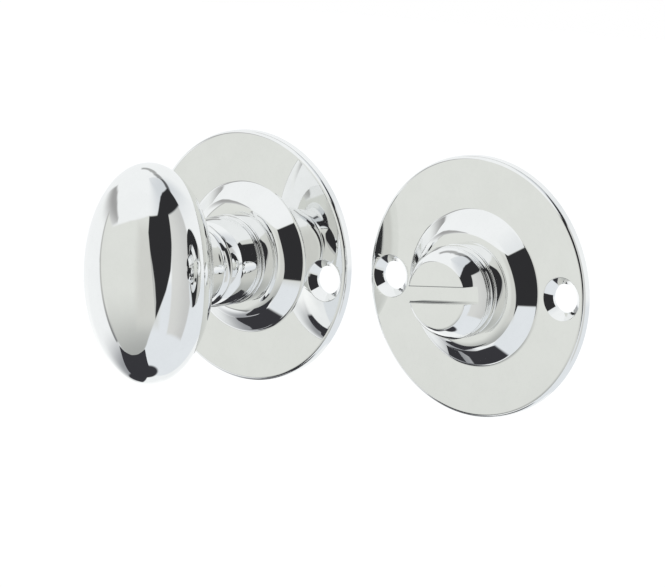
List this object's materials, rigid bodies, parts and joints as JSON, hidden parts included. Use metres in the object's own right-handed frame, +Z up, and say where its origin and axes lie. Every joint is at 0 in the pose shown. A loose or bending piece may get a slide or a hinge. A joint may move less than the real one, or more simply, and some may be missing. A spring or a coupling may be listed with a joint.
{
  "type": "bathroom thumb turn and coin release set",
  "caption": "Bathroom lock furniture: an oval thumb turn and a slotted coin release, each on a round domed rose with countersunk holes and a square spindle.",
  "frame": {"origin": "centre of the thumb turn's rose, on its back face that meets the door", "axes": "+Y into the door, +Z up, +X from the thumb turn to the coin release"},
  "size_m": [0.106, 0.0638, 0.05],
  "materials": {
    "polished_chrome": "polished chrome plate on brass",
    "nylon": "natural moulded nylon",
    "zinc_plated_steel": "bright zinc-plated drawn steel",
    "spring_steel": "oiled spring steel"
  },
  "bodies": {
    "roses": {"turn_rose": "polished_chrome", "turn_bush": "nylon", "turn_wave_washer": "spring_steel", "release_rose": "polished_chrome", "release_bush": "nylon", "release_wave_washer": "spring_steel"},
    "thumb_turn": {"turn_knob": "polished_chrome", "turn_washer": "spring_steel", "turn_circlip": "spring_steel", "turn_spindle": "zinc_plated_steel", "turn_spindle_pin": "spring_steel"},
    "coin_release": {"release_button": "polished_chrome", "release_washer": "spring_steel", "release_circlip": "spring_steel", "release_spindle": "zinc_plated_steel", "release_spindle_pin": "spring_steel"}
  },
  "joints": [
    {"name": "thumb_turn_spin", "type": "hinge", "parent": "roses", "child": "thumb_turn", "pos_m": [0, 0, 0], "axis": [0, 1, 0], "range_deg": [0, 90]},
    {"name": "coin_release_spin", "type": "hinge", "parent": "roses", "child": "coin_release", "pos_m": [0.056, 0, 0], "axis": [0, 1, 0], "range_deg": [-85, 5]}
  ]
}
